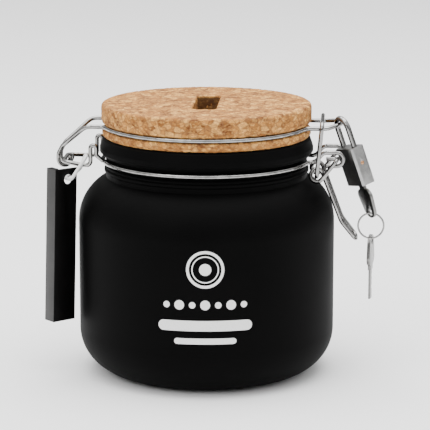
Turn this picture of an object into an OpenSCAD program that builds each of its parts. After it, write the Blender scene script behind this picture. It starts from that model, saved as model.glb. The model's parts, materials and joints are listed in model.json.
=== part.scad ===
// Coin bank jar: round black jar, cork lid with a coin slot, wire bail closure,
// small padlock with two keys, and a card hang tag on a plastic loop.
// Millimetres. The origin is the centre of the jar's base, +Z up.
// The hinge is on -X, the latch and the padlock are on +X.

/* [Jar] */
// Radius of the straight body
body_r = 57.4; // [56:0.1:58]
// Rounding between the base and the body
base_round = 19.5; // [16:0.5:21]
// Height at which the shoulder starts
shoulder_z = 68.7; // [68:0.1:69.5]
// Rounding of the shoulder
shoulder_round = 22; // [21.5:0.1:22.5]
// Radius of the neck under the bead
neck_r = 45; // [44.8:0.1:45]
// Height of the neck ring wire
ring_z = 96.2; // [96:0.1:96.4]
// Largest radius of the collar
collar_r = 47.7; // [47.2:0.1:47.9]
// Height of the rim
rim_z = 106.5; // [106.3:0.1:106.6]
// Radius of the mouth
mouth_r = 40.4; // [40.2:0.1:41]
// Thickness of the wall
wall = 4; // [3:0.5:5]

/* [Cork lid] */
// Radius of the upper slab
cork_r = 46.9; // [46.5:0.1:47.2]
// Height of the lid's top
cork_top_z = 121.4; // [120:0.1:123]
// Length of the coin slot
slot_len = 38; // [34:1:40]
// Width of the coin slot
slot_w = 10.4; // [6:0.2:11]
// Depth of the plug below the rim
plug_depth = 8; // [6:0.5:9]

/* [Wires] */
// Radius of the bail wires
wire_r = 1; // [0.9:0.05:1]
// Height of the wire round the lid
band_z = 111.7; // [111.5:0.1:111.9]

/* [Padlock] */
// Width of the padlock case
case_w = 15; // [14.5:0.5:16]
// Thickness of the padlock case
case_t = 6.6; // [6.4:0.1:7]
// Height of the padlock case
case_h = 17.4; // [17:0.2:18]
// Lean of the hanging padlock, away from the jar
padlock_lean = 19; // [18:0.5:20]
// Turn of the padlock about its own length
padlock_yaw = 60; // [58:1:62]

/* [Hang tag] */
// Width of the tag
tag_w = 12; // [11:0.5:12]
// Depth of the folded tag
tag_t = 6.4; // [6:0.1:6.5]
// Height of the tag
tag_h = 69.4; // [60:0.2:69.6]

/* [Hidden] */
$fn = 64;
eps = 0.01;

// How finely the wires are drawn: sides of the round, degrees for each step of
// a bend and of an arc round the jar, and the least distance between steps
wire_sides = 12;
bend_step = 18;
arc_step = 5;
min_step = 0.05;

// Side-to-side planes of the latch wires, measured from the middle
ear_y = 8.6;
arm_y = 11.2;
leg_y = 13.8;

lever_pivot = [58.3, 97.6];
loop_centre = [49.5, 90.6];
loop_r = 2.7;
link_top = [51.8, 114.1];
hasp_end = [60.6, 113.0];
hinge_axis = [-63.5, 95.5];

ring_r = neck_r + wire_r + 0.2;
band_r = 45.7;
slab_low_z = 110.4;
slab_high_z = 113.0;
groove_r = band_r - wire_r - 0.1;

shackle_r = 1.3;
shackle_half = 4.8;
shackle_up = 8.6;
lock_y = -4.2;
lock_origin = [60.9, lock_y, hasp_end[1] - 2.3];
plug_r = 2.5;
key_t = 1.4;
bow_w = 11;
key_hole_r = 1.7;
key_visible = 16.4;
key_ring_r = 5.7;
key_ring_wire = 0.45;
case_low = -shackle_up - case_h;
key_hole_z = case_low - key_visible + key_hole_r + 1.3;

tag_place = [-65.2, -14.6, 24.4];
tag_lean = 1.6;
tag_hole_drop = 4.9;
tag_hole_x = 1.2;
tag_hole_r = 2.2;
card_t = 0.7;
flap_gap = 1.5;
flap_w = 4.6;
loop_wire_r = 0.85;

// ---- wire forming -------------------------------------------------------

function unit(v) = v / norm(v);
function flip_x(p) = [-p[0], p[1], p[2]];
function flip_y(p) = [p[0], -p[1], p[2]];
function reverse(list) = [for (i = [len(list) - 1 : -1 : 0]) list[i]];
function mirrored(list) = [for (p = reverse(list)) flip_y(p)];

// The arc that rounds the corner b, on the way from a to c
function corner_arc(a, b, c, radius) =
    let (
        u = unit(b - a),
        v = unit(c - b),
        angle = acos(max(-1, min(1, u * v))),
        n = unit(v - u * (u * v)),
        centre = b - u * radius * tan(angle / 2) + n * radius,
        steps = max(2, ceil(angle / bend_step))
    )
    [
        for (i = [0 : steps])
            let (turn = angle * i / steps)
                centre - n * radius * cos(turn) + u * radius * sin(turn)
    ];

// A line along pts, with one bend radius for each inner point
function route(pts, radii) = concat(
    [pts[0]],
    [
        for (i = [1 : len(pts) - 2])
            each corner_arc(pts[i - 1], pts[i], pts[i + 1], radii[i - 1])
    ],
    [pts[len(pts) - 1]]
);

// A level arc round the jar, from angle a0 to a1
function level_arc(radius, a0, a1, z) =
    let (steps = ceil(abs(a1 - a0) / arc_step))
    [
        for (i = [0 : steps])
            let (a = a0 + (a1 - a0) * i / steps)
                [radius * cos(a), radius * sin(a), z]
    ];

// Where a level ring of the given radius turns off along X at the offset y:
// the small bend of radius f touches both the ring and the straight.
function turn_off_x(radius, y, f) = sqrt(pow(radius + f, 2) - pow(y + f, 2));
function turn_off_angle(radius, y, f) = asin((y + f) / (radius + f));

// The small bend on the +X side and the near side, from the straight to the ring
function turn_off(radius, y, f, z) =
    let (
        span = 90 - turn_off_angle(radius, y, f),
        x = turn_off_x(radius, y, f),
        steps = ceil(span / bend_step)
    )
    [
        for (i = [0 : steps])
            let (a = 90 + span * i / steps)
                [x + f * cos(a), -y - f + f * sin(a), z]
    ];

function spaced(path) = [
    for (i = [0 : len(path) - 1])
        if (i == 0 || norm(path[i] - path[i - 1]) > min_step) path[i]
];

function directions(path, closed) =
    let (last = len(path) - 1)
    [
        for (i = [0 : last])
            let (
                before = i > 0 ? path[i - 1] : closed ? path[last] : path[0],
                after = i < last ? path[i + 1] : closed ? path[0] : path[last],
                into = i > 0 || closed ? unit(path[i] - before) : [0, 0, 0],
                out = i < last || closed ? unit(after - path[i]) : [0, 0, 0]
            )
                unit(into + out)
    ];

// One sideways direction at each point, turned as little as the path allows
function carried_sides(dirs, first) = [
    for (
        i = 0, side = unit(cross(first, dirs[0]));
        i < len(dirs);
        i = i + 1, side = i < len(dirs) ? unit(side - dirs[i] * (side * dirs[i])) : side
    )
        side
];

// A round wire along a path. A closed path needs across, a direction that the
// path never follows.
module wire(path, r, closed = false, across = [0, 1, 0.01]) {
    line = spaced(path);
    dirs = directions(line, closed);
    sides = closed ? [for (d = dirs) unit(cross(across, d))] : carried_sides(dirs, across);
    rings = len(line);
    points = [
        for (i = [0 : rings - 1], k = [0 : wire_sides - 1])
            let (a = 360 * k / wire_sides)
                line[i] + r * (cos(a) * sides[i] + sin(a) * cross(dirs[i], sides[i]))
    ];
    skin = [
        for (i = [0 : rings - (closed ? 1 : 2)], k = [0 : wire_sides - 1])
            let (m = (i + 1) % rings, l = (k + 1) % wire_sides)
                [i * wire_sides + k, m * wire_sides + k, m * wire_sides + l, i * wire_sides + l]
    ];
    ends = closed ? [] : [
        [for (k = [0 : wire_sides - 1]) k],
        [for (k = [wire_sides - 1 : -1 : 0]) (rings - 1) * wire_sides + k]
    ];
    polyhedron(points, concat(skin, ends));
}

// ---- jar ----------------------------------------------------------------

function arc_points(centre, radius, from, to, steps) = [
    for (i = [0 : steps])
        let (a = from + (to - from) * i / steps)
            [centre[0] + radius * cos(a), centre[1] + radius * sin(a)]
];

neck_angle = acos((neck_r - body_r + shoulder_round) / shoulder_round);

function outer_profile(inset) = concat(
    arc_points([body_r - base_round, base_round], base_round - inset, -90, 0, 24),
    arc_points([body_r - shoulder_round, shoulder_z], shoulder_round - inset,
               0, neck_angle, 24)
);

module jar_body() {
    color("#161616")
    rotate_extrude($fn = 180)
        difference() {
            polygon(concat(
                [[0, 0]],
                outer_profile(0),
                [
                    [neck_r, 90.6], [neck_r + 0.7, 91.2], [neck_r + 0.7, 92.2],
                    [neck_r, 92.8], [neck_r, 93.4], [neck_r + 0.6, 94.0],
                    [neck_r, 94.6], [neck_r, 98.0], [neck_r + 1.4, 98.6],
                    [collar_r, 100.2], [collar_r, 102.0],
                    [cork_r - 0.4, 105.6], [cork_r - 1.3, rim_z]
                ],
                [[0, rim_z]]
            ));
            polygon(concat(
                [[0, wall + 1]],
                [for (p = outer_profile(wall)) [p[0], max(p[1], wall + 1)]],
                [[mouth_r, 92], [mouth_r, rim_z - 1], [mouth_r + 1, rim_z + 1], [0, rim_z + 1]]
            ));
        }
}

// Wire round the neck. It is open on the latch side, where each end runs out
// and turns back as an ear that holds the lever's pivot.
module neck_ring() {
    f = 2.5;
    a = turn_off_angle(ring_r, ear_y, f);
    x = turn_off_x(ring_r, ear_y, f);
    pz = lever_pivot[1];
    near = [
        [x, -ear_y, ring_z], [49.2, -ear_y, ring_z + 0.6], [52.4, -ear_y, pz + 3],
        [lever_pivot[0] + 3, -ear_y, pz + 3], [lever_pivot[0] + 3, -ear_y, pz - 3],
        [53.4, -ear_y, pz - 3]
    ];
    half = concat(reverse(route(near, [3, 3, 3, 3])), turn_off(ring_r, ear_y, f, ring_z));
    color("silver")
        wire(concat(half, level_arc(ring_r, 360 - a, a, ring_z), mirrored(half)), wire_r);
}

// Wire loop on the neck ring that carries the lid's hinge bar
module hinge_loop() {
    hx = hinge_axis[0];
    hz = hinge_axis[1];
    near = [
        [-45, -13, 96.5], [-48.1, -13, 99.2], [-48.1, -13, 103.6], [-50.7, -13, 103.6],
        [-50.7, -13, hz - 0.9], [-55, -12, hz - 0.9], [hx, -8.5, hz]
    ];
    radii = [1.2, 1.3, 1.3, 1.8, 8, 3];
    color("silver")
        wire(route(concat(near, mirrored(near)), concat(radii, reverse(radii))), wire_r);
}

// ---- lid ----------------------------------------------------------------

module cork_lid() {
    color("#c89a64")
    difference() {
        rotate_extrude($fn = 180)
            polygon(concat(
                [[0, rim_z - plug_depth], [36.2, rim_z - plug_depth], [37, rim_z - plug_depth + 0.8],
                 [39, rim_z + 0.1], [44.8, rim_z + 0.1]],
                arc_points([44.8, rim_z + 1.9], 1.8, -90, 0, 8),
                [[46.6, slab_low_z - 0.5], [46.1, slab_low_z], [groove_r, slab_low_z + 0.4],
                 [groove_r, slab_high_z - 0.4]],
                [[46.4, slab_high_z]],
                arc_points([cork_r - 1.2, slab_high_z + 1.4], 1.2, -45, 0, 4),
                arc_points([cork_r - 1.6, cork_top_z - 1.6], 1.6, 0, 90, 8),
                [[0, cork_top_z]]
            ));
        hull()
            for (x = [-1, 1], y = [-1, 1])
                translate([x * (slot_w / 2 - 2), y * (slot_len / 2 - 2), rim_z - plug_depth - 1])
                    cylinder(h = cork_top_z - rim_z + plug_depth + 2, r = 2, $fn = 32);
    }
}

// Wire round the lid. On the latch side it runs out as the hasp; on the hinge
// side its two ends run down and close round the hinge bar.
module lid_wire() {
    f = 3;
    hasp_y = 11;
    arm_out_y = 12;
    right_a = turn_off_angle(band_r, hasp_y, f);
    left_a = turn_off_angle(band_r, arm_out_y, f);
    hasp = [
        [turn_off_x(band_r, hasp_y, f), -hasp_y, band_z], [54, -hasp_y + 0.4, band_z],
        [hasp_end[0], -4.8, hasp_end[1]]
    ];
    hx = hinge_axis[0];
    hz = hinge_axis[1];
    eye = 1.6 + wire_r;
    arm = [
        [-turn_off_x(band_r, arm_out_y, f), -arm_out_y, band_z],
        [-52.9, -arm_out_y, band_z], [hx - 0.6, -5.2, hz + 6.4],
        [hx - eye, -4.4, hz + 2.6], [hx - eye, -4.4, hz - eye], [hx + eye, -4.4, hz - eye],
        [hx + eye, -4.4, hz + 1.5]
    ];
    half = concat(
        reverse(route(arm, [5, 3, 3, eye, eye])),
        [for (p = turn_off(band_r, arm_out_y, f, band_z)) flip_x(p)],
        level_arc(band_r, 180 + left_a, 360 - right_a, band_z),
        reverse(turn_off(band_r, hasp_y, f, band_z))
    );
    tip = route(concat(hasp, mirrored(hasp)), [3, 7, 7, 3]);
    color("silver")
        wire(concat(half, tip, mirrored(half)), wire_r);
}

// ---- latch --------------------------------------------------------------

// Corners of the lever's coil: four bends of radius loop_r that sink from the
// arm's plane to the handle's plane, so that the coil passes behind itself.
leg_knee = [60.6, 69.1];
to_coil = loop_centre - lever_pivot;
to_knee = leg_knee - loop_centre;
arm_dir = 360 + atan2(to_coil[1], to_coil[0]) + asin(loop_r / norm(to_coil));
leg_dir = atan2(to_knee[1], to_knee[0]) - asin(loop_r / norm(to_knee));
coil_step = (arm_dir - leg_dir) / 4;
coil_corner_r = loop_r / cos(coil_step / 2);
coil_sink = 3;

function coil_corner(k) =
    let (a = arm_dir + 90 - (k + 0.5) * coil_step)
        [loop_centre[0] + coil_corner_r * cos(a),
         -arm_y + coil_sink * (k + 0.5) / 4,
         loop_centre[1] + coil_corner_r * sin(a)];

module lever_wire() {
    pivot = [lever_pivot[0], -arm_y, lever_pivot[1]];
    near = concat(
        [[pivot[0], -ear_y + 1.7, pivot[2]], pivot],
        [for (k = [0 : 3]) coil_corner(k)],
        [[leg_knee[0], -5.8, leg_knee[1]], [67.2, -4.6, 60.7]]
    );
    radii = [1.3, loop_r - 0.02, loop_r - 0.02, loop_r - 0.02, loop_r - 0.02, 9, 3];
    color("silver")
        wire(route(concat(near, mirrored(near)), concat(radii, reverse(radii))), wire_r);
}

module link_wire() {
    near = [
        [loop_centre[0], -arm_y + 0.7, loop_centre[1]],
        [loop_centre[0], -leg_y, loop_centre[1]],
        [link_top[0], -leg_y, link_top[1]]
    ];
    color("silver")
        wire(route(concat(near, mirrored(near)), [1.4, 2.5, 2.5, 1.4]), wire_r);
}

// ---- padlock ------------------------------------------------------------
// The padlock's own frame has its origin at the centre of the shackle's bow,
// the shackle in the XZ plane and the case below.

module place_padlock() {
    translate(lock_origin)
        rotate([0, -padlock_lean, 0])
            rotate([0, 0, -padlock_yaw])
                children();
}

heel_depth = 10;
toe_depth = 5;
notch_top = -shackle_up - 1.6;
notch_low = -shackle_up - 3.4;
notch_x = shackle_half - shackle_r + 0.8;

module padlock_shackle() {
    color("gainsboro")
    place_padlock()
        difference() {
            wire(route([
                [-shackle_half, 0, -shackle_up - heel_depth], [-shackle_half, 0, shackle_half],
                [shackle_half, 0, shackle_half], [shackle_half, 0, -shackle_up - toe_depth]
            ], [shackle_half, shackle_half]), shackle_r);
            // The bolt's notch, with a ramp down to the end of the toe
            translate([0, 2, 0]) rotate([90, 0, 0]) linear_extrude(4)
                polygon([
                    [notch_x - 2, notch_top], [notch_x, notch_top], [notch_x, notch_low],
                    [notch_x - 0.8, -shackle_up - toe_depth],
                    [notch_x - 2, -shackle_up - toe_depth - 1]
                ]);
        }
}

// The coil spring that lifts the heel, as stacked rings
module shackle_spring() {
    color("#c8c8c8")
    place_padlock()
        for (i = [0 : 7])
            translate([-shackle_half, 0, case_low + 2.5 + i * 0.65])
                rotate_extrude($fn = 40) translate([1.05, 0]) circle(r = 0.2, $fn = 16);
}

bolt_low = notch_low + 0.3;
bolt_tip = shackle_half - shackle_r + 0.5;
chamber_r = 0.75;
pin_zs = [-18.2, -20.6, -23];

module case_outline() {
    c = 0.9;
    polygon([
        [-case_w / 2 + c, -case_t / 2], [case_w / 2 - c, -case_t / 2],
        [case_w / 2, -case_t / 2 + c], [case_w / 2, case_t / 2 - c],
        [case_w / 2 - c, case_t / 2], [-case_w / 2 + c, case_t / 2],
        [-case_w / 2, case_t / 2 - c], [-case_w / 2, -case_t / 2 + c]
    ]);
}

module padlock_case() {
    color("#a9aaa8")
    place_padlock()
        difference() {
            translate([0, 0, case_low]) linear_extrude(case_h) case_outline();
            // Shackle holes: the heel's also holds its spring
            translate([-shackle_half, 0, case_low + 2.2])
                cylinder(h = case_h, r = shackle_r + 0.1);
            translate([shackle_half, 0, -shackle_up - toe_depth - 0.6])
                cylinder(h = case_h, r = shackle_r + 0.1);
            // Bore of the plug
            translate([0, 0, case_low - 1])
                cylinder(h = 11.4, r = plug_r + 0.06);
            // Channel of the latch bolt and its spring
            translate([-2.9, -1, bolt_low - 0.2])
                cube([7.1, 2, 1.4]);
            // Pin chambers, drilled from the narrow side
            for (z = pin_zs)
                translate([plug_r - 0.5, 0, z]) rotate([0, 90, 0])
                    cylinder(h = 3.9, r = chamber_r, $fn = 24);
            // Hole for the rivet that covers the chambers
            translate([case_w / 2 - 0.9, 0, -16])
                rotate([0, 90, 0]) cylinder(h = 2, r = 0.9, $fn = 24);
        }
}

module case_rivet() {
    color("#b98a4e")
    place_padlock()
        translate([case_w / 2 - 0.9, 0, -16])
            rotate([0, 90, 0]) cylinder(h = 0.95, r = 0.88, $fn = 24);
}

module latch_bolt() {
    color("#b0a078")
    place_padlock()
        translate([bolt_tip - 2.8, -0.8, bolt_low]) cube([2.8, 1.6, 1]);
}

// A flattened coil spring behind the bolt, as stacked rings
module latch_spring() {
    color("#c8c8c8")
    place_padlock()
        for (i = [0 : 3])
            translate([-2.6 + i * 0.46, 0, bolt_low + 0.5])
                rotate([0, 90, 0])
                    rotate_extrude($fn = 24) translate([0.38, 0]) circle(r = 0.14, $fn = 16);
}

module driver_pins() {
    color("#c9a24c")
    place_padlock()
        for (z = pin_zs)
            translate([plug_r + 0.15, 0, z]) rotate([0, 90, 0])
                cylinder(h = 3, r = chamber_r - 0.08, $fn = 24);
}

module lock_plug() {
    color("#b9b08c")
    place_padlock()
        difference() {
            translate([0, 0, case_low - 0.2]) cylinder(h = 10, r = plug_r);
            translate([-1.9, -0.55, case_low - 1]) cube([3.8, 1.1, 9.4]);
        }
}

// A flat key that hangs along -Z from z = 0, where its blade leaves the bow.
// Its blade points up and is in the XZ plane.
module flat_key(blade_len, hole_z) {
    difference() {
        union() {
            translate([-1.75, -key_t / 2 + 0.25, -0.5]) cube([3.5, key_t - 0.5, blade_len + 0.5]);
            translate([0, key_t / 2, 0]) rotate([90, 0, 0]) linear_extrude(key_t)
                difference() {
                    union() {
                        hull() {
                            for (x = [-1, 1])
                                translate([x * (bow_w / 2 - 3.4), -5.6]) circle(r = 3.4, $fn = 40);
                            translate([0, -key_visible + 4.8]) circle(r = 4.4, $fn = 48);
                        }
                        translate([-2.2, -3.2]) square([4.4, 3.2]);
                    }
                    translate([0, hole_z]) circle(r = key_hole_r, $fn = 40);
                }
        }
        for (i = [0 : 2])
            translate([1.75, 0, 3 + i * 2.6])
                rotate([90, 0, 0]) cylinder(h = 4, r = 0.55 + 0.12 * i, center = true, $fn = 24);
    }
}

key_hole_local = -key_visible + key_hole_r + 1.3;

module key_in_lock() {
    color("#c9c9c6")
    place_padlock()
        translate([0, 0, case_low - 0.3])
            flat_key_in_plug();
}

// The blade is narrowed so that it turns with the plug inside its slot
module flat_key_in_plug() {
    intersection() {
        flat_key(8.2, key_hole_local);
        union() {
            translate([-20, -5, -30]) cube([40, 10, 30]);
            translate([-1.75, -0.45, -1]) cube([3.5, 0.9, 12]);
        }
    }
}

function lock_point(z) = [
    lock_origin[0] - z * sin(padlock_lean), lock_y, lock_origin[2] + z * cos(padlock_lean)
];
ring_hang = lock_point(key_hole_z - 0.3);
key_ring_centre = [ring_hang[0], lock_y, ring_hang[2] - key_ring_r - 0.5];

module key_ring() {
    color("gainsboro")
        translate(key_ring_centre)
            rotate([90, 0, 0])
                rotate_extrude($fn = 96)
                    translate([key_ring_r, 0]) circle(r = key_ring_wire, $fn = 32);
}

spare_yaw = 78;
spare_top = key_ring_centre[2] - key_ring_r - 0.9;

// The spare key hangs from the ring by the hole in its bow, blade down
module spare_key() {
    color("#c9c9c6")
        translate([key_ring_centre[0], lock_y, spare_top + key_hole_local])
            rotate([0, 0, spare_yaw])
                mirror([0, 0, 1])
                    flat_key(13.4, key_hole_local);
}

// ---- hang tag -----------------------------------------------------------

module place_tag() {
    translate(tag_place)
        rotate([0, tag_lean, 0])
            rotate([0, 0, 45])
                children();
}

// A folded card. The front panel has the hole, and the side panel ends in a
// flap that is turned back inside it.
module hang_tag() {
    color("#1b1b1b")
    place_tag()
        difference() {
            union() {
                translate([-tag_w / 2, -tag_t / 2, 0]) cube([tag_w, card_t, tag_h]);
                translate([-tag_w / 2, -tag_t / 2, 0]) cube([card_t, tag_t, tag_h]);
                translate([-tag_w / 2, tag_t / 2 - card_t, 0])
                    cube([flap_gap + 2 * card_t, card_t, tag_h]);
                translate([-tag_w / 2 + card_t + flap_gap, tag_t / 2 - flap_w, 0])
                    cube([card_t, flap_w, tag_h]);
            }
            translate([tag_hole_x, -tag_t / 2, tag_h - tag_hole_drop]) rotate([90, 0, 0])
                cylinder(h = 4 * card_t, r = tag_hole_r, center = true);
        }
}

// Plastic loop through the tag's hole and round the near side of the hinge loop
module tag_loop() {
    rise = tag_h - tag_hole_drop;
    wide = [cos(45), sin(45), 0];
    outward = [sin(45), -cos(45), 0];
    hole = tag_place + wide * tag_hole_x + outward * (tag_t - card_t) / 2
        + [rise * sin(tag_lean), 0, rise * cos(tag_lean)];
    low_front = hole + outward * 2.4;
    low_back = hole - outward * 3.4;
    high_front = [-52.2, -14.9, 99];
    start = (low_front + high_front) / 2;
    path = route(
        [start, high_front, [-53.4, -9.6, 98.6], [-55.8, -9.8, 92], low_back, low_front, start],
        [2, 2, 4, 2, 1.7]
    );
    color("whitesmoke")
        wire([for (i = [1 : len(path) - 1]) path[i]], loop_wire_r, true, [0.8, 0.15, -0.6]);
}

jar_body();
neck_ring();
hinge_loop();
cork_lid();
lid_wire();
lever_wire();
link_wire();
padlock_shackle();
shackle_spring();
padlock_case();
case_rivet();
latch_bolt();
latch_spring();
driver_pins();
lock_plug();
key_in_lock();
key_ring();
spare_key();
tag_loop();
hang_tag();
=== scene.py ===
"""Looks of the coin bank jar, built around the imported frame.

Everything is in metres in the frame's own axes: +Z is up, the front is -Y and
the latch is on +X. Lengths below are given in millimetres, times MM.
"""

import json
import math

import bmesh
import bpy
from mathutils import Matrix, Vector, noise

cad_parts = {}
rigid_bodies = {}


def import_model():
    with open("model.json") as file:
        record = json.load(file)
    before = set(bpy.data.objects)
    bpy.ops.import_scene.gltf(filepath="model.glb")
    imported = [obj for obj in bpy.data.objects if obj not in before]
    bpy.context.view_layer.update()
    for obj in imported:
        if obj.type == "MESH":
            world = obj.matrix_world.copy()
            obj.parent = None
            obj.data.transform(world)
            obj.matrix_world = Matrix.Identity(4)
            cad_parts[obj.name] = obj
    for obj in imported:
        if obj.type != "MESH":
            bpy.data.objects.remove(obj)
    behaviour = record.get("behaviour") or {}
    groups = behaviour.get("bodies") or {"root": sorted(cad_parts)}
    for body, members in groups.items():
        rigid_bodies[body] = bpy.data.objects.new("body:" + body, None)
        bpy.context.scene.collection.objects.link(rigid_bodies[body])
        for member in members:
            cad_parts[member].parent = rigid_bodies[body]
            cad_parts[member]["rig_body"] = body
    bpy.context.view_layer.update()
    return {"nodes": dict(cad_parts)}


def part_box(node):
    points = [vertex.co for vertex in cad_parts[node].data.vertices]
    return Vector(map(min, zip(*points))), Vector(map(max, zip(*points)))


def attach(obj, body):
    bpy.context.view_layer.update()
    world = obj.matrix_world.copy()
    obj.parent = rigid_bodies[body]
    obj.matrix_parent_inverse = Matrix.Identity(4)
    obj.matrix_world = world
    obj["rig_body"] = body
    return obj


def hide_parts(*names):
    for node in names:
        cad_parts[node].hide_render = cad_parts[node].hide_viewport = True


MM = 0.001
SLOT_HALF_X = 5.2 * MM
SLOT_HALF_Y = 19.2 * MM
SLOT_EDGE = 0.9 * MM
# Painted shade: how dark the cork is painted in the coin slot's recess, where shade falls.
SLOT_PAINTED_SHADE = 0.75

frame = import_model()
cad = frame["nodes"]
jar_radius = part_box("jar_body")[1].x


# ---- materials ------------------------------------------------------------


class Graph:
    """One material, with short calls that add nodes to it."""

    def __init__(self, name, **settings):
        self.material = bpy.data.materials.new(name)
        self.material.use_nodes = True
        self.tree = self.material.node_tree
        self.shader = self.tree.nodes["Principled BSDF"]
        for socket, value in settings.items():
            self.shader.inputs[socket.replace("_", " ")].default_value = value
        where = self.tree.nodes.new("ShaderNodeTexCoord")
        self.place = where.outputs["Object"]
        self.facing = where.outputs["Normal"]

    def node(self, kind, settings, inputs):
        made = self.tree.nodes.new(kind)
        for key, value in settings.items():
            setattr(made, key, value)
        for key, value in inputs.items():
            self.feed(made.inputs[key], value)
        return made

    def feed(self, socket, value):
        if isinstance(value, bpy.types.NodeSocket):
            self.tree.links.new(value, socket)
        else:
            socket.default_value = value

    def stretched(self, x, y, z):
        """The object's coordinates, stretched so that a pattern gets longer one way."""
        inputs = {"Vector": self.place, "Scale": (x, y, z)}
        return self.node("ShaderNodeMapping", {}, inputs).outputs[0]

    def noise(self, size, detail=2.0, place=None, distortion=0.0):
        """Cloudy noise from 0 to 1 whose blotches are about size across."""
        inputs = {
            "Vector": place or self.place,
            "Scale": 1 / size,
            "Detail": detail,
            "Distortion": distortion,
        }
        return self.node("ShaderNodeTexNoise", {}, inputs).outputs[0]

    def cells(self, size, feature="F1", output="Distance", place=None):
        """Random cells of about the given size."""
        inputs = {"Vector": place or self.place, "Scale": 1 / size}
        made = self.node("ShaderNodeTexVoronoi", {"feature": feature}, inputs)
        return made.outputs[output]

    def ramp(self, value, *stops):
        """Colours or greys between stops of (position, value)."""
        made = self.node("ShaderNodeValToRGB", {}, {"Fac": value})
        elements = made.color_ramp.elements
        while len(elements) < len(stops):
            elements.new(0.5)
        for element, (position, shade) in zip(elements, stops):
            element.position = position
            grey = isinstance(shade, (int, float))
            element.color = (shade, shade, shade, 1) if grey else (*shade, 1)
        return made.outputs["Color"]

    def mix(self, factor, first, second, blend="MIX"):
        made = self.node("ShaderNodeMix", {"data_type": "RGBA", "blend_type": blend}, {})
        self.feed(made.inputs[0], factor)
        self.feed(made.inputs[6], first)
        self.feed(made.inputs[7], second)
        return made.outputs[2]

    def math(self, operation, first, second):
        made = self.node("ShaderNodeMath", {"operation": operation}, {0: first, 1: second})
        return made.outputs[0]

    def slot_painted_shade(self):
        """Painted shade: the given amount on the coin slot's walls, where the recess lies in shade, and
        0 elsewhere.
        """
        parts = self.node("ShaderNodeSeparateXYZ", {}, {0: self.place}).outputs
        inside = SLOT_PAINTED_SHADE
        for part, limit in ((parts["X"], SLOT_HALF_X), (parts["Y"], SLOT_HALF_Y)):
            near = self.math("LESS_THAN", self.math("ABSOLUTE", part, 0.0), limit)
            inside = self.math("MULTIPLY", near, inside)
        deep = self.math("LESS_THAN", parts["Z"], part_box("cork_lid")[1].z - SLOT_EDGE)
        return self.math("MULTIPLY", deep, inside)

    def bump(self, height, depth, normal=None):
        inputs = {"Height": height, "Distance": depth, "Strength": 1.0}
        if normal:
            inputs["Normal"] = normal
        return self.node("ShaderNodeBump", {}, inputs).outputs[0]

    def finish(self, **links):
        for socket, value in links.items():
            self.feed(self.shader.inputs[socket.replace("_", " ")], value)
        return self.material


def black_coating():
    """Matt black powder coat: fine orange peel and a faint cloudiness."""
    g = Graph("black_coating", Specular_IOR_Level=0.035)
    cloud = g.noise(30 * MM, 3)
    peel = g.noise(0.55 * MM, 2)
    grain = g.noise(0.16 * MM, 1)
    colour = g.ramp(cloud, (0.3, (0.0008, 0.0008, 0.0008)), (0.7, (0.0014, 0.0014, 0.0014)))
    rough = g.ramp(g.mix(0.35, cloud, peel), (0.3, 0.52), (0.7, 0.62))
    bump = g.bump(grain, 0.006 * MM, g.bump(peel, 0.012 * MM))
    return g.finish(Base_Color=colour, Roughness=rough, Normal=bump)


def bright_wire():
    """Bright drawn wire, with faint handling haze."""
    g = Graph("bright_wire", Metallic=1.0)
    haze = g.noise(3 * MM, 4)
    speck = g.noise(0.25 * MM, 1)
    colour = g.ramp(haze, (0.35, (0.22, 0.216, 0.21)), (0.7, (0.36, 0.354, 0.346)))
    rough = g.ramp(haze, (0.3, 0.07), (0.75, 0.16))
    return g.finish(Base_Color=colour, Roughness=rough, Normal=g.bump(speck, 0.003 * MM))


def cork_grain():
    """Pressed cork: crumbs of several sizes and browns, dark seams and pits."""
    g = Graph("cork_grain", Specular_IOR_Level=0.25)
    warp = g.node("ShaderNodeTexNoise", {}, {"Vector": g.place, "Scale": 1 / (2.5 * MM)})
    bend = g.mix(0.0012, g.place, warp.outputs["Color"], "ADD")
    flat = g.node("ShaderNodeMapping", {}, {"Vector": bend, "Scale": (1, 1, 1.5)}).outputs[0]
    big = g.cells(3.4 * MM, output="Color", place=flat)
    seam = g.cells(3.4 * MM, "DISTANCE_TO_EDGE", place=flat)
    small = g.cells(1.3 * MM, output="Color", place=flat)
    small_seam = g.cells(1.3 * MM, "DISTANCE_TO_EDGE", place=flat)
    fleck = g.noise(0.8 * MM, 3, place=flat, distortion=0.6)
    cloud = g.noise(9 * MM, 2)
    tan = [
        (0.20, (0.13, 0.040, 0.007)),
        (0.40, (0.36, 0.145, 0.028)),
        (0.62, (0.54, 0.245, 0.054)),
        (0.82, (0.80, 0.440, 0.125)),
    ]
    colour = g.mix(0.45, g.ramp(big, *tan), g.ramp(small, *tan))
    colour = g.mix(g.ramp(small_seam, (0.0, 0.45), (0.12, 0.0)), colour, (0.25, 0.115, 0.045, 1))
    colour = g.mix(g.ramp(seam, (0.0, 0.7), (0.10, 0.0)), colour, (0.20, 0.085, 0.033, 1))
    pits = g.ramp(fleck, (0.62, 0.0), (0.72, 0.85))
    colour = g.mix(pits, colour, (0.13, 0.052, 0.02, 1))
    colour = g.mix(0.25, colour, g.ramp(cloud, (0.3, 0.4), (0.7, 0.62)), "OVERLAY")
    crumbs = g.ramp(seam, (0.0, 0.0), (0.1, 1.0))
    relief = g.mix(0.5, crumbs, g.ramp(small_seam, (0.0, 0.0), (0.12, 1.0)))
    relief = g.mix(pits, relief, (0, 0, 0, 1))
    # Painted shade: the coin slot's walls get a dark brown in place of the shade in the recess.
    colour = g.mix(g.slot_painted_shade(), colour, (0.045, 0.020, 0.008, 1))
    return g.finish(Base_Color=colour, Roughness=0.82, Normal=g.bump(relief, 0.12 * MM))


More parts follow.
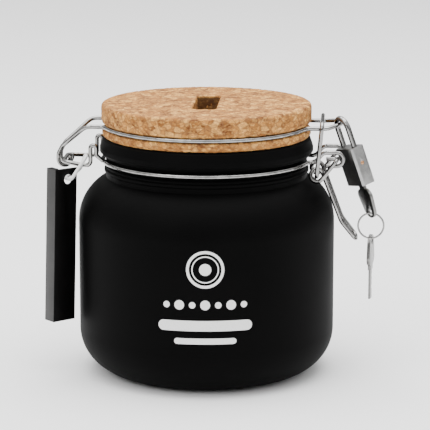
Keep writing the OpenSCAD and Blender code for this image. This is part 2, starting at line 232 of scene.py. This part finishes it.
def brushed(name, dark, light, rough_low, rough_high, stretch):
    """Metal with fine lines one way."""
    g = Graph(name, Metallic=1.0)
    lines = g.noise(0.4 * MM, 3, place=g.stretched(*stretch))
    haze = g.noise(2.5 * MM, 3)
    colour = g.ramp(g.mix(0.5, lines, haze), (0.3, dark), (0.7, light))
    rough = g.ramp(lines, (0.3, rough_low), (0.7, rough_high))
    return g.finish(Base_Color=colour, Roughness=rough, Normal=g.bump(lines, 0.006 * MM))


def laminated_card():
    """Black laminated card. The face turned toward the key light on the front-left is painted grey, a
    painted reflection of that light.
    """
    g = Graph("laminated_card", Specular_IOR_Level=0.1)
    fibre = g.noise(0.5 * MM, 4)
    cloud = g.noise(6 * MM, 2)
    black = g.ramp(cloud, (0.3, (0.0016, 0.0015, 0.0015)), (0.7, (0.0028, 0.0026, 0.0026)))
    # Painted reflection: the lighter grey given to the face that is turned toward the key light.
    grey = g.ramp(g.mix(0.5, fibre, cloud), (0.3, (0.044, 0.0435, 0.0435)), (0.7, (0.062, 0.061, 0.060)))
    toward_key_light = (-math.sin(math.radians(45)), -math.cos(math.radians(45)), 0)
    inputs = {0: g.facing, 1: toward_key_light}
    # Picks the faces turned toward the key light, which get the painted reflection.
    side = g.node("ShaderNodeVectorMath", {"operation": "DOT_PRODUCT"}, inputs).outputs["Value"]
    side = g.math("GREATER_THAN", side, 0.9)
    rough = g.ramp(fibre, (0.3, 0.34), (0.7, 0.46))
    colour = g.mix(side, black, grey)
    return g.finish(Base_Color=colour, Roughness=rough, Normal=g.bump(fibre, 0.008 * MM))


def white_plastic():
    """Slightly cloudy white plastic, as of a seal or a tag loop."""
    g = Graph("white_plastic", Subsurface_Weight=0.25, Subsurface_Scale=1.2 * MM)
    g.shader.inputs["Subsurface Radius"].default_value = (1.0, 0.95, 0.9)
    cloud = g.noise(2 * MM, 3)
    colour = g.ramp(cloud, (0.3, (0.74, 0.74, 0.73)), (0.7, (0.86, 0.86, 0.85)))
    rough = g.ramp(g.noise(0.5 * MM, 2), (0.3, 0.34), (0.7, 0.44))
    return g.finish(Base_Color=colour, Roughness=rough, Normal=g.bump(cloud, 0.02 * MM))


def white_ink():
    """Screen-printed white ink, thin in places."""
    g = Graph("white_ink", Specular_IOR_Level=0.3)
    grain = g.noise(0.35 * MM, 3)
    colour = g.ramp(grain, (0.28, (0.70, 0.70, 0.69)), (0.5, (0.83, 0.83, 0.82)))
    return g.finish(Base_Color=colour, Roughness=0.6, Normal=g.bump(grain, 0.006 * MM))


def plain_floor():
    g = Graph("floor", Roughness=0.9)
    cloud = g.noise(400 * MM, 2)
    return g.finish(Base_Color=g.ramp(cloud, (0.3, 0.94), (0.7, 0.96)))


# ---- pieces made from CAD nodes --------------------------------------------


def dress(material, *names):
    """CAD nodes whose shape is right get a better material."""
    for name in names:
        node = cad[name]
        node.data.materials.clear()
        node.data.materials.append(material)


def place(piece, node, material, slot):
    """A new piece takes a CAD node's place on its body."""
    piece.data.materials.clear()
    piece.data.materials.append(material)
    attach(piece, cad[node]["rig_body"])
    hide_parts(node)
    return piece


def copy_of(node, name):
    piece = bpy.data.objects.new(name, cad[node].data.copy())
    bpy.context.scene.collection.objects.link(piece)
    return piece


def apply_modifiers(piece):
    graph = bpy.context.evaluated_depsgraph_get()
    mesh = bpy.data.meshes.new_from_object(piece.evaluated_get(graph))
    piece.modifiers.clear()
    piece.data = mesh
    return piece


def smooth_faces(mesh, sharp_angle=None):
    mesh.polygons.foreach_set("use_smooth", [True] * len(mesh.polygons))
    if sharp_angle:
        mesh.set_sharp_from_angle(angle=math.radians(sharp_angle))


def remeshed(node, name, voxel, passes):
    """A copy of a faceted node with even quads, smoothed to a round wire."""
    piece = copy_of(node, name)
    even = piece.modifiers.new("even", "REMESH")
    even.mode = "VOXEL"
    even.voxel_size = voxel
    calm = piece.modifiers.new("calm", "CORRECTIVE_SMOOTH")
    calm.iterations = passes
    calm.smooth_type = "LENGTH_WEIGHTED"
    calm.use_only_smooth = True
    apply_modifiers(piece)
    smooth_faces(piece.data)
    return piece


def rounded(node, name, width, segments=2):
    """A copy of a node with whole flat faces and rounded edges."""
    piece = copy_of(node, name)
    work = bmesh.new()
    work.from_mesh(piece.data)
    bmesh.ops.remove_doubles(work, verts=work.verts, dist=0.002 * MM)
    flat = math.radians(0.6)
    bmesh.ops.dissolve_limit(work, angle_limit=flat, verts=work.verts, edges=work.edges)
    work.to_mesh(piece.data)
    work.free()
    edge = piece.modifiers.new("edge", "BEVEL")
    edge.width = width
    edge.segments = segments
    edge.limit_method = "ANGLE"
    edge.angle_limit = math.radians(35)
    edge.harden_normals = False
    apply_modifiers(piece)
    smooth_faces(piece.data, 40)
    return piece


def split_ring():
    """The key ring as it is made: two turns of flat wire side by side."""
    low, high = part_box("key_ring")
    centre = (low + high) / 2
    flat = min(range(3), key=lambda axis: high[axis] - low[axis])
    wire_r = (high[flat] - low[flat]) / 2
    radius = (high.z - low.z) / 2 - wire_r
    steps, sides, turns = 96, 12, 2
    work = bmesh.new()
    rings = []
    for i in range(steps * turns + 1):
        angle = 2 * math.pi * i / steps
        shift = (i / (steps * turns) - 0.5) * wire_r
        ring = []
        for k in range(sides):
            turn = 2 * math.pi * k / sides
            reach = radius + 0.9 * wire_r * math.cos(turn)
            point = centre.copy()
            point[(flat + 1) % 3] += reach * math.cos(angle)
            point[(flat + 2) % 3] += reach * math.sin(angle)
            point[flat] += shift + 0.5 * wire_r * math.sin(turn)
            ring.append(work.verts.new(point))
        rings.append(ring)
    for first, second in zip(rings, rings[1:]):
        for k in range(sides):
            m = (k + 1) % sides
            work.faces.new([first[k], second[k], second[m], first[m]])
    work.faces.new(rings[0])
    work.faces.new(reversed(rings[-1]))
    bmesh.ops.recalc_face_normals(work, faces=work.faces)
    mesh = bpy.data.meshes.new("key_ring_split")
    work.to_mesh(mesh)
    work.free()
    smooth_faces(mesh, 40)
    piece = bpy.data.objects.new("key_ring_split", mesh)
    bpy.context.scene.collection.objects.link(piece)
    return piece


def crumbled_cork():
    """The lid with crumbs, pits and nicked edges in its surface."""
    piece = copy_of("cork_lid", "cork_lid_grained")
    even = piece.modifiers.new("even", "REMESH")
    even.mode = "VOXEL"
    even.voxel_size = 0.62 * MM
    apply_modifiers(piece)
    mesh = piece.data
    normals = [v.normal.copy() for v in mesh.vertices]
    for vertex, normal in zip(mesh.vertices, normals):
        spot = vertex.co / MM
        crumbs = noise.voronoi(spot / 3.2)[0]
        seam = min(1, (crumbs[1] - crumbs[0]) / 0.16)
        pit = max(0, noise.noise(spot / 1.9) - 0.38) * 1.2
        vertex.co += normal * (-0.16 * (1 - seam) - pit + 0.05 * noise.noise(spot / 0.9)) * MM
    smooth_faces(mesh)
    return piece


# ---- print on the jar --------------------------------------------------------


INK_PROUD = 0.05 * MM
INK_SUNK = 0.15 * MM


def on_jar(across, up, lift):
    """A point of the print, wrapped round the jar's straight body."""
    radius = jar_radius + lift
    angle = across / jar_radius - math.pi / 2
    return (radius * math.cos(angle), radius * math.sin(angle), up)


def printed_strip(mesh, rails, closed):
    """A closed skin of ink between two rails, lists of (across, up) points."""
    rings = []
    for low, high in zip(*rails):
        corners = [(low, INK_PROUD), (high, INK_PROUD), (high, -INK_SUNK), (low, -INK_SUNK)]
        rings.append([mesh.verts.new(on_jar(*point, lift)) for point, lift in corners])
    pairs = list(zip(rings, rings[1:]))
    if closed:
        pairs.append((rings[-1], rings[0]))
    for first, second in pairs:
        for i in range(4):
            j = (i + 1) % 4
            mesh.faces.new([first[i], second[i], second[j], first[j]])
    if not closed:
        mesh.faces.new(rings[0])
        mesh.faces.new(reversed(rings[-1]))


def ring_of_ink(mesh, across, up, inner, outer, steps=72):
    turns = [2 * math.pi * i / steps for i in range(steps)]
    rails = [
        [(across + r * math.cos(t), up + r * math.sin(t)) for t in turns] for r in (inner, outer)
    ]
    printed_strip(mesh, rails, closed=True)


def bar_of_ink(mesh, across, up, length, height, steps=48):
    """A bar with round ends. A bar as long as it is high is a dot."""
    half = length / 2
    round_r = height / 2
    low, high = [], []
    for i in range(steps + 1):
        x = -half * math.cos(math.pi * i / steps) * 0.999
        past = max(0, abs(x) - (half - round_r))
        y = math.sqrt(round_r**2 - past**2)
        low.append((across + x, up - y))
        high.append((across + x, up + y))
    printed_strip(mesh, [low, high], closed=False)


def printed_motif():
    """Plain rings over a row of dots and two bars."""
    work = bmesh.new()
    centre = 3.1 * MM
    rings_up = 58.2 * MM
    ring_of_ink(work, centre, rings_up, 7.0 * MM, 8.2 * MM)
    ring_of_ink(work, centre, rings_up, 5.4 * MM, 5.9 * MM)
    bar_of_ink(work, centre, rings_up, 5.2 * MM, 5.2 * MM)
    dots = 7
    pitch = 5.6 * MM
    for i in range(dots):
        across = centre + (i - (dots - 1) / 2) * pitch
        size = (4.2 if i % 2 else 2.8) * MM
        bar_of_ink(work, across, 42.6 * MM, size, size)
    bar_of_ink(work, centre, 33.4 * MM, 41 * MM, 4.6 * MM)
    bar_of_ink(work, centre, 26.6 * MM, 27 * MM, 2.6 * MM)
    bmesh.ops.recalc_face_normals(work, faces=work.faces)
    mesh = bpy.data.meshes.new("printed_motif")
    work.to_mesh(mesh)
    work.free()
    smooth_faces(mesh, 40)
    piece = bpy.data.objects.new("printed_motif", mesh)
    bpy.context.scene.collection.objects.link(piece)
    mesh.materials.append(white_ink())
    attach(piece, "root")
    return piece


# ---- the object ---------------------------------------------------------------


def build_object():
    wire = bright_wire()
    dress(black_coating(), "jar_body")
    place(crumbled_cork(), "cork_lid", cork_grain(), "cork")
    for node in ("neck_ring", "hinge_loop", "lid_wire", "lever_wire", "link_wire"):
        place(remeshed(node, node + "_drawn", 0.24 * MM, 6), node, wire, "bail_wire")
    polished = brushed(
        "polished_steel", (0.18, 0.177, 0.173), (0.33, 0.325, 0.318), 0.10, 0.20, (1, 1, 1)
    )
    satin = brushed(
        "satin_case", (0.26, 0.26, 0.256), (0.44, 0.436, 0.43), 0.26, 0.38, (6, 6, 0.6)
    )
    stamped = brushed(
        "stamped_key", (0.13, 0.128, 0.124), (0.27, 0.266, 0.26), 0.22, 0.36, (5, 5, 0.7)
    )
    copper = brushed(
        "copper_rivet", (0.55, 0.27, 0.13), (0.72, 0.40, 0.22), 0.25, 0.38, (1, 1, 1)
    )
    brass = brushed(
        "turned_brass", (0.48, 0.36, 0.17), (0.70, 0.56, 0.30), 0.22, 0.36, (1, 1, 5)
    )
    dress(polished, "shackle_spring", "latch_spring")
    shackle = remeshed("padlock_shackle", "padlock_shackle_bent", 0.2 * MM, 6)
    place(shackle, "padlock_shackle", polished, "shackle_steel")
    place(split_ring(), "key_ring", polished, "shackle_steel")
    dress(brass, "driver_pins", "latch_bolt")
    place(rounded("padlock_case", "case_rounded", 0.35 * MM, 3), "padlock_case", satin, "case_metal")
    place(rounded("case_rivet", "rivet_domed", 0.3 * MM, 3), "case_rivet", copper, "brass")
    place(rounded("lock_plug", "plug_turned", 0.15 * MM), "lock_plug", brass, "brass")
    for node in ("key_in_lock", "spare_key"):
        place(rounded(node, node + "_stamped", 0.14 * MM), node, stamped, "key_steel")
    loop = remeshed("tag_loop", "tag_loop_moulded", 0.22 * MM, 6)
    place(loop, "tag_loop", white_plastic(), "loop_plastic")
    card = rounded("hang_tag", "hang_tag_folded", 0.12 * MM)
    place(card, "hang_tag", laminated_card(), "black_card")
    printed_motif()


# ---- studio -------------------------------------------------------------------


def area_light(name, at, aim, size, watts):
    data = bpy.data.lights.new(name, "AREA")
    data.shape = "RECTANGLE"
    data.size, data.size_y = size
    data.energy = watts
    lamp = bpy.data.objects.new(name, data)
    lamp.location = at
    lamp.rotation_euler = (Vector(aim) - Vector(at)).to_track_quat("-Z", "Y").to_euler()
    bpy.context.scene.collection.objects.link(lamp)


def build_studio():
    mesh = bpy.data.meshes.new("floor")
    half = 6
    corners = [(-half, -half, 0), (half, -half, 0), (half, half, 0), (-half, half, 0)]
    mesh.from_pydata(corners, [], [(0, 1, 2, 3)])
    mesh.materials.append(plain_floor())
    floor = bpy.data.objects.new("floor", mesh)
    bpy.context.scene.collection.objects.link(floor)
    middle = (0, 0, 0.07)
    area_light("key", (-0.75, -0.9, 0.95), middle, (0.8, 0.8), 6)
    area_light("fill", (0.95, -0.55, 0.6), middle, (0.6, 0.9), 0.8)
    area_light("top", (0, 0.1, 1.3), middle, (1.4, 1.4), 34)
    world = bpy.data.worlds.new("studio")
    world.use_nodes = True
    background = world.node_tree.nodes["Background"]
    nodes = world.node_tree.nodes
    links = world.node_tree.links
    height = nodes.new("ShaderNodeSeparateXYZ")
    shades = nodes.new("ShaderNodeValToRGB")
    links.new(nodes.new("ShaderNodeTexCoord").outputs["Generated"], height.inputs[0])
    links.new(height.outputs["Z"], shades.inputs["Fac"])
    links.new(shades.outputs["Color"], background.inputs["Color"])
    shades.color_ramp.elements[0].position = 0.12
    shades.color_ramp.elements[0].color = (0.12, 0.12, 0.12, 1)
    shades.color_ramp.elements[1].position = 0.6
    shades.color_ramp.elements[1].color = (1, 1, 1, 1)
    background.inputs["Strength"].default_value = 1.6
    bpy.context.scene.world = world


def build_camera():
    distance = 1.0
    azimuth = math.radians(3.5)
    elevation = math.radians(12)
    aim = Vector((3.8, 0, 70)) * MM
    level = distance * math.cos(elevation)
    offset = Vector(
        (level * math.sin(azimuth), -level * math.cos(azimuth), distance * math.sin(elevation))
    )
    data = bpy.data.cameras.new("camera")
    data.sensor_width = 36
    data.lens = 186
    camera = bpy.data.objects.new("camera", data)
    camera.location = aim + offset
    camera.rotation_euler = (-offset).to_track_quat("-Z", "Y").to_euler()
    bpy.context.scene.collection.objects.link(camera)
    bpy.context.scene.camera = camera


build_camera()
build_studio()
build_object()
